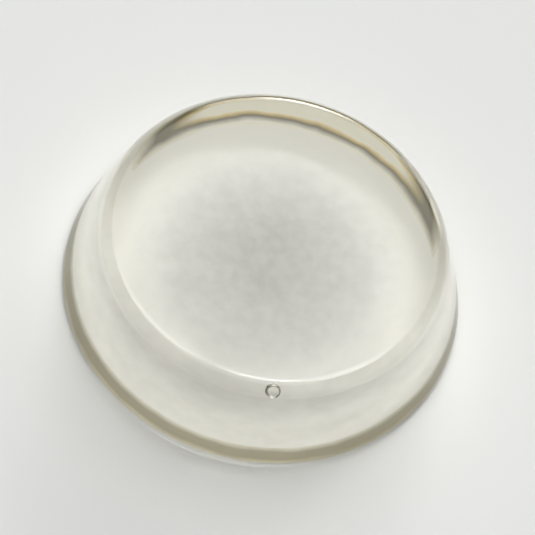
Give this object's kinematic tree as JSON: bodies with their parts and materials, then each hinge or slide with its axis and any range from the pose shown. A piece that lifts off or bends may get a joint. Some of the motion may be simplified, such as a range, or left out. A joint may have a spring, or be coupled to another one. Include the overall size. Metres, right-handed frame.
{
  "type": "self-adhesive cabinet door bumper",
  "caption": "Round clear soft-plastic bumper with a flat top, rounded upper edge, leaning wall and an adhesive film underneath; it cushions a closing cabinet door or drawer.",
  "frame": {"origin": "centre of the adhesive underside, on the bumper's round axis", "axes": "+Z along the round axis, from the stuck underside to the flat top; X and Y lie in the stuck face"},
  "size_m": [0.019, 0.019, 0.0048],
  "materials": {
    "clear_vinyl": "glossy, clear, faintly yellow soft plastic",
    "adhesive": "hazy pale pressure-sensitive adhesive"
  },
  "bodies": {
    "root": {"bumper_body": "clear_vinyl", "adhesive_film": "adhesive"}
  },
  "joints": []
}
